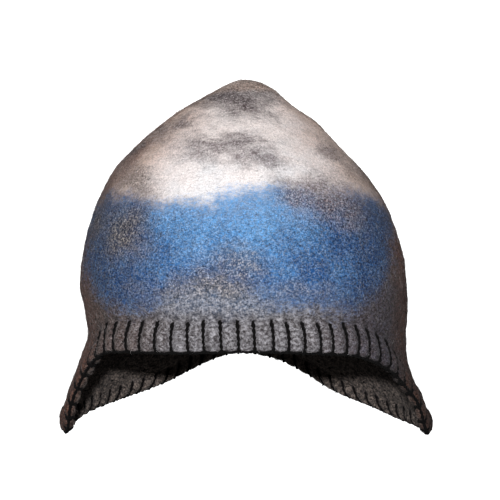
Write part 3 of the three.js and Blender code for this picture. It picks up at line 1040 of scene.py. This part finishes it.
BROWN_WISPS = [
    (-46, 0.405, 0.021, 0.016, 1.0),
    (-53, 0.452, 0.016, 0.008, 0.6),
    (-66, 0.45, 0.015, 0.012, 0.75),
    (-47, 0.605, 0.016, 0.009, 0.7),
    (-41, 0.575, 0.012, 0.008, 0.5),
    (0, 0.325, 0.014, 0.009, 0.8),
    (-6, 0.31, 0.014, 0.008, 0.6),
    (-8, 0.238, 0.024, 0.008, 0.75),
    (-24, 0.215, 0.016, 0.008, 0.6),
    (18, 0.20, 0.020, 0.006, 0.5),
    (-38, 0.20, 0.012, 0.006, 0.4),
    (160, 0.36, 0.024, 0.012, 0.7),
    (205, 0.28, 0.028, 0.010, 0.7),
    (140, 0.22, 0.020, 0.008, 0.6),
]


def wisp_mask(finish, place, wisps):
    """Where wisps of wool lie, as one value."""
    total = None
    for angle, height, half_width, half_height, strength in wisps:
        along = math.radians(angle) * UNROLL_RADIUS
        centre = plain_point(along, up_at_height(height * CROWN_HEIGHT))
        away = finish.vector("SUBTRACT", place, tuple(centre))
        away = finish.vector("MULTIPLY", away, (1 / half_width, 1 / half_width, 1 / half_height))
        distance = finish.vector("LENGTH", away, output="Value")
        mask = finish.ease(distance, WISP_FADE) * strength
        total = mask if total is None else total.most(mask)
    return total


class FeltFinish(Finish):
    """The marbled wool, laid on in layers. color is the felt's colour as far as it is laid."""

    def __init__(self, name):
        super().__init__(name, roughness=0.95, sheen=0.04)
        self.place = self.object_place()
        self.inside = self.mark("inside")
        self.outside = 1 - self.inside
        self.find_noises()
        self.find_sides()
        self.color = self.blend(self.grain, HEATHER_SHADE, HEATHER)

    def find_noises(self):
        """The unevenness of the wool, from clouds to single hairs."""
        self.lying = self.flattened(self.place, LYING_STRETCH)
        self.cloud = self.noise(self.place, CLOUDS)
        self.tuft = self.noise(self.flattened(self.place, TUFT_STRETCH), TUFTS)
        self.mottle = self.noise(self.lying, MOTTLE)
        self.speck = self.noise(self.place, SPECKS)
        self.grain = self.ease(self.mottle, GRAIN)
        self.pale_line = self.fibre_lines(self.lying, PALE_LINES)

    def fibre_lines(self, place, grain):
        """Single fibres: the level lines of noise are thin and curly."""
        return self.ease(abs(self.noise(place, grain) - 0.5), LINE_FADE)

    def find_sides(self):
        """How high and how far to the side a place lies, once the wool's zones wander and fray."""
        moved = self.wander(self.place, self.place, DRIFT, DRIFT_REACH)
        streaks = self.flattened(self.place, FRAY_STRETCH)
        self.moved = self.wander(moved, streaks, FRAY, FRAY_REACH)
        x, _, z = self.parts(self.moved)
        self.side = x / HEAD_HALF_WIDTH
        self.height = z / CROWN_HEIGHT
        widths = [(share, half) for share, half in sorted(SECTIONS[:, :2].tolist()) if share > -1]
        self.round_side = abs(self.side) / self.through(self.height, widths).most(NARROWEST)
        self.flank = self.ease(abs(self.side), FLANK)
        self.at_side = self.ease(self.round_side, FAR_SIDE)
        self.warm = self.ease(self.height, WARM_HEIGHT)

    def lay(self, share, wool):
        """A share of a wool over what is laid so far."""
        self.color = self.blend(share, self.color, wool)

    def lay_heather(self):
        """Grey-brown wool below, browner at the sides, with a thin haze of blue in front."""
        self.lay(self.flank * FLANK_SHARE, HEATHER_BROWN)
        haze = self.ease(self.height, HAZE_STARTS) * self.ease(self.height, HAZE_ENDS)
        self.lay(haze * (1 - self.flank) * HAZE_SHARE * (1.25 - 0.5 * self.grain), BLUE)

    def lay_cream(self):
        """Cream wool on the crown, with waves of grey in it and tan at its sides. At the far sides a
        red-brown is laid, partly brown wool and partly painted shade of the crown's edges.
        """
        cream = self.blend(self.ease(self.cloud, WARM_CLOUDS) * CLOUD_SHARE, CREAM, CREAM_WARM)
        cream = self.blend(self.warm * WARM_SHARE, cream, CREAM_WARM)
        waves = self.noise(self.flattened(self.moved, WAVE_STRETCH), WAVES)
        wave_share = self.ease(waves, WAVE_FADE) * (0.20 + 0.22 * self.warm)
        cream = self.blend(wave_share, cream, CREAM_GREY)
        cream = self.blend(self.ease(self.round_side, BLUSH_SIDE) * BLUSH_SHARE, cream, CREAM_BLUSH)
        self.cream_mask = self.ease(self.height, CREAM_STARTS) * self.ease(self.height, CREAM_ENDS)
        self.lay(self.cream_mask * (0.91 + 0.1 * self.mottle), cream)
        tan = self.ease(self.round_side, TAN_SIDE) * self.ease(self.height, TAN_STARTS)
        self.lay(tan * TAN_SHARE, TIP_BROWN)
        # Partly painted shade: the far sides are darkened red-brown, over brown wool.
        self.lay(self.at_side * (0.62 + 0.2 * self.ease(self.height, RIM_FADE)), RIM_BROWN_AND_SHADE)

    def lay_blue(self):
        """The blue zone with its torn borders, brightest in the middle of the front."""
        off_middle = abs(self.side - BLUE_MIDDLE)
        self.middle = 1 - self.ease(off_middle, DIM_SIDE)
        bright = self.middle * self.ease(self.height, BRIGHT_STARTS) + (self.cloud - 0.5) * 1.6
        blue = self.blend(bright * 0.85 + (self.mottle - 0.5) * 0.6, BLUE_DEEP, BLUE)
        top = self.through(self.side, [(side, top) for side, top, _ in BLUE_ZONE])
        bottom = self.through(self.side, [(side, bottom) for side, _, bottom in BLUE_ZONE])
        zone = self.ease(top - self.height, BLUE_TOP) * self.ease(self.height - bottom, BLUE_BOTTOM)
        zone = zone * self.ease(off_middle, BLUE_ENDS)
        ragged = zone + (self.mottle - 0.5) * 0.7 + (self.speck - 0.5) * 0.7 + (self.tuft - 0.5) * 0.9
        covered = self.ease(ragged, (0, 1)) * self.ease(zone, BLUE_LEAST)
        self.clear = 1 - covered
        self.blue_mask = 1 - self.clear * (0.35 + 0.65 * self.clear)
        self.lay(self.blue_mask * (0.84 + 0.16 * self.grain), blue)

    def lay_wisps(self):
        """Torn grey and brown wisps over the other wools, and the tip's own wool."""
        torn = self.wander(self.moved, self.flattened(self.place, TEAR_STRETCH), TEARS, TEAR_REACH)
        fibrous = self.ease(self.mottle + (self.speck - 0.5) * 0.9, FIBROUS)
        fine = self.ease(self.noise(self.place, FINE_WOOL) + (self.speck - 0.5) * 0.6, FINE)
        brown = self.blend(fine, BROWN_DARK, BROWN)
        grey = self.blend(self.warm * WARM_GREY_SHARE, self.blend(fine, GREY_DARK, GREY), brown)
        self.grey_mask = wisp_mask(self, torn, GREY_WISPS)
        self.brown_mask = wisp_mask(self, torn, BROWN_WISPS)
        self.lay(self.grey_mask * (0.70 + 0.16 * self.warm + 0.32 * fibrous), grey)
        self.lay(self.brown_mask * (0.54 + 0.38 * fibrous), brown)
        self.lay(self.ease(self.height, TIP_STARTS) * TIP_SHARE, TIP_WOOL)

    def lay_low_wools_and_crease_shade(self):
        """Slate wool low on the right, the wool of the inside, and painted shade, with some yarn
        fuzz, in the creases at the stitches.
        """
        self.low_right = self.ease(self.side, RIGHT_SIDE) * self.ease(self.height, LOW_HEIGHT)
        self.lay(self.low_right * (0.25 + 0.4 * self.grain) * (1 - self.at_side), SLATE)
        self.lay(self.inside, self.blend(self.grain, INSIDE_SHADE, INSIDE))
        # Painted shade, with some fuzz of the black yarn, darkens the creases at the stitches.
        self.lay(self.mark("crease") * CREASE_SHADE_AND_FUZZ, DARK)

    def lay_fibres(self):
        """Single pale and dark fibres: pale blue ones in the blue, and fewer dark ones on cream."""
        dark_line = self.fibre_lines(self.vector("ADD", self.lying, DARK_LINES_APART), DARK_LINES)
        self.lay(self.pale_line * self.blue_mask * (0.24 - 0.22 * self.brown_mask), BLUE_PALE)
        self.lay(self.pale_line * self.outside * PALE_LINE_SHARE, PALE)
        dark_share = dark_line * DARK_LINE_SHARE * (1.25 - self.cream_mask)
        self.lay(dark_share * (1.1 - 0.3 * self.middle), DARK)

    def painted_shade(self):
        """Painted shade: the wool is darkened towards the sides, more at the far sides up high, low
        on the right and down the flaps, as the light falls off there.
        """
        light = 1 - 0.42 * self.ease(abs(self.side), DARK_SIDE)
        light = light - 0.16 * self.at_side * self.ease(self.height, DARK_HEIGHT)
        light = light - 0.22 * self.low_right * self.outside
        return light - 0.17 * self.ease(self.height, FLAP_HEIGHT) * self.outside

    def speckle_and_shade(self):
        """Light and dark hairs, which show least in clean cream and blue wool and in the band,
        multiplied with the painted shade of the sides and flaps.
        """
        wisps = self.grey_mask.most(self.brown_mask)
        calm = (0.7 * self.blue_mask * self.middle).most(1.45 * self.cream_mask) * (1 - wisps)
        band = self.ease(self.height, BAND_HEIGHT)
        contrast = 1.85 - calm + 0.9 * self.flank - 0.85 * band * (1 - self.flank)
        hairs = (self.mottle - 0.5) * 0.9 + (self.speck - 0.5) * 2.0
        clouds = (self.cloud - 0.5) * 0.3 * self.clear
        # The painted shade scales the whole tone.
        tone = self.painted_shade() * (0.97 + contrast * hairs + self.pale_line * 0.24 + clouds)
        grey_tone = self.add("ShaderNodeCombineColor", {}, {0: tone, 1: tone, 2: tone})
        self.color = self.blend(1.0, self.color, grey_tone, "MULTIPLY")


def felt_finish(name, stray_wool=None, stray_share=0):
    """The marbled wool. Fibres that lie on it are partly of another wool."""
    felt = FeltFinish(name)
    felt.lay_heather()
    felt.lay_cream()
    felt.lay_blue()
    felt.lay_wisps()
    felt.lay_low_wools_and_crease_shade()
    felt.lay_fibres()
    if stray_wool:
        felt.lay(stray_share, stray_wool)
    felt.speckle_and_shade()
    felt.connect("Base Color", felt.color)
    fuzz = felt.mottle * 0.5 + felt.speck * 0.3 + felt.pale_line * 0.2
    felt.bump(fuzz, distance=0.0012, strength=0.8)
    return felt.material


def yarn_finish():
    """Near-black wool yarn with greyer hairs."""
    yarn = Finish("black wool yarn", roughness=0.9, sheen=0.02, specular=0.08)
    hairs = yarn.noise(yarn.object_place(), YARN_HAIRS)
    yarn.connect("Base Color", yarn.blend(yarn.ease(hairs, YARN_HAIR_FADE), YARN_BLACK, YARN_GREY))
    yarn.bump(hairs, distance=0.0004, strength=0.7)
    return yarn.material


FELT = felt_finish("marbled wool felt")
PALE_WOOL = felt_finish("pale stray wool", stray_wool=PALE, stray_share=0.38)
DARK_WOOL = felt_finish("dark stray wool", stray_wool=DARK, stray_share=0.45)
YARN = yarn_finish()
body = make_felt(FELT)
stitches = make_stitches(YARN)
strand = make_edge_strand(YARN)
pale_fibres = make_fibres("pale_fibres", body, count=10500, longest=0.0075, material=PALE_WOOL)
dark_fibres = make_fibres("dark_fibres", body, count=9000, longest=0.0065, material=DARK_WOOL)
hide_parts("felt_shell")
for piece in (body, stitches, strand, pale_fibres, dark_fibres):
    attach(piece, "root")

# The stage: a pale bowl of a floor that curves up all round.
FLOOR_HEIGHT = -1.4
FLAT_RADIUS, SWEEP_RADIUS, WALL_HEIGHT = 1.8, 1.0, 3.6
SWEEP_STEPS, STAGE_SIDES = 12, 96
PAPER = (0.86, 0.86, 0.86, 1)


def make_stage():
    """The floor, of paper that bounces no light onto the hat."""
    sweep = []
    for bend in np.linspace(0, math.pi / 2, SWEEP_STEPS + 1):
        radius = FLAT_RADIUS + SWEEP_RADIUS * math.sin(bend)
        sweep.append((radius, FLOOR_HEIGHT + SWEEP_RADIUS * (1 - math.cos(bend))))
    sweep.append((FLAT_RADIUS + SWEEP_RADIUS, WALL_HEIGHT))
    turns = np.linspace(0, 2 * math.pi, STAGE_SIDES, endpoint=False)
    points = [[0, 0, FLOOR_HEIGHT]]
    for radius, height in sweep:
        points += [[radius * math.cos(turn), radius * math.sin(turn), height] for turn in turns]
    pairs = [(k, (k + 1) % STAGE_SIDES) for k in range(STAGE_SIDES)]
    faces = [[0, 1 + k, 1 + after] for k, after in pairs]
    for ring in range(len(sweep) - 1):
        low = 1 + ring * STAGE_SIDES
        high = low + STAGE_SIDES
        faces += [[low + k, high + k, high + after, low + after] for k, after in pairs]
    finish = Finish("pale paper", roughness=0.9, sheen=0)
    finish.surface.inputs["Base Color"].default_value = PAPER
    stage = make_mesh("stage", np.array(points), faces, finish.material)
    stage.visible_diffuse = False
    stage.visible_glossy = False
    return stage


def area_light(name, place, aim, size, power, only=None):
    """A round soft lamp. With only, it lights nothing but that object."""
    lamp = bpy.data.lights.new(name, "AREA")
    lamp.shape = "DISK"
    lamp.size = size
    lamp.energy = power
    light = bpy.data.objects.new(name, lamp)
    light.location = place
    light.rotation_euler = (Vector(aim) - Vector(place)).to_track_quat("-Z", "Y").to_euler()
    light.visible_camera = False
    bpy.context.scene.collection.objects.link(light)
    if only is not None:
        group = bpy.data.collections.new(name + " on")
        group.objects.link(only)
        light.light_linking.receiver_collection = group


stage = make_stage()
area_light("front softbox", place=(-0.035, -0.92, 0.189), aim=(0, 0, 0.05), size=0.035, power=10.6)
area_light("back softbox", place=(0, 0.95, 0.3), aim=(0, 0, 0.03), size=0.5, power=8)
for side in (-1, 1):
    area_light("side fill", place=(0.9 * side, 0.42, 0.12), aim=(0, 0, 0.03), size=0.6, power=2.2)
area_light("stage wash", place=(0, 0, 6), aim=(0, 0, 0), size=2.8, power=2000, only=stage)

STUDIO_AIR = 0.048
world = bpy.data.worlds.new("studio air")
world.use_nodes = True
background = world.node_tree.nodes["Background"]
background.inputs["Color"].default_value = (1, 1, 1, 1)
background.inputs["Strength"].default_value = STUDIO_AIR
bpy.context.scene.world = world
bpy.context.scene.view_settings.view_transform = "Standard"

# The camera, 0.95 m off and 4 degrees above, as the photo was taken.
VIEW_DISTANCE = 0.95
VIEW_ELEVATION = math.radians(4)
LOOK_AT = Vector((0.0042, 0.0, 0.0482))
MILLIMETRES_PER_PIXEL = 0.605
FRAME_PIXELS = 500
SENSOR = 36.0
camera_data = bpy.data.cameras.new("camera")
camera_data.sensor_width = SENSOR
camera_data.lens = SENSOR * VIEW_DISTANCE * 1000 / MILLIMETRES_PER_PIXEL / FRAME_PIXELS
camera = bpy.data.objects.new("camera", camera_data)
towards_camera = Vector((0, -math.cos(VIEW_ELEVATION), math.sin(VIEW_ELEVATION)))
camera.location = LOOK_AT + VIEW_DISTANCE * towards_camera
camera.rotation_euler = (math.pi / 2 - VIEW_ELEVATION, 0, 0)
bpy.context.scene.collection.objects.link(camera)
bpy.context.scene.camera = camera
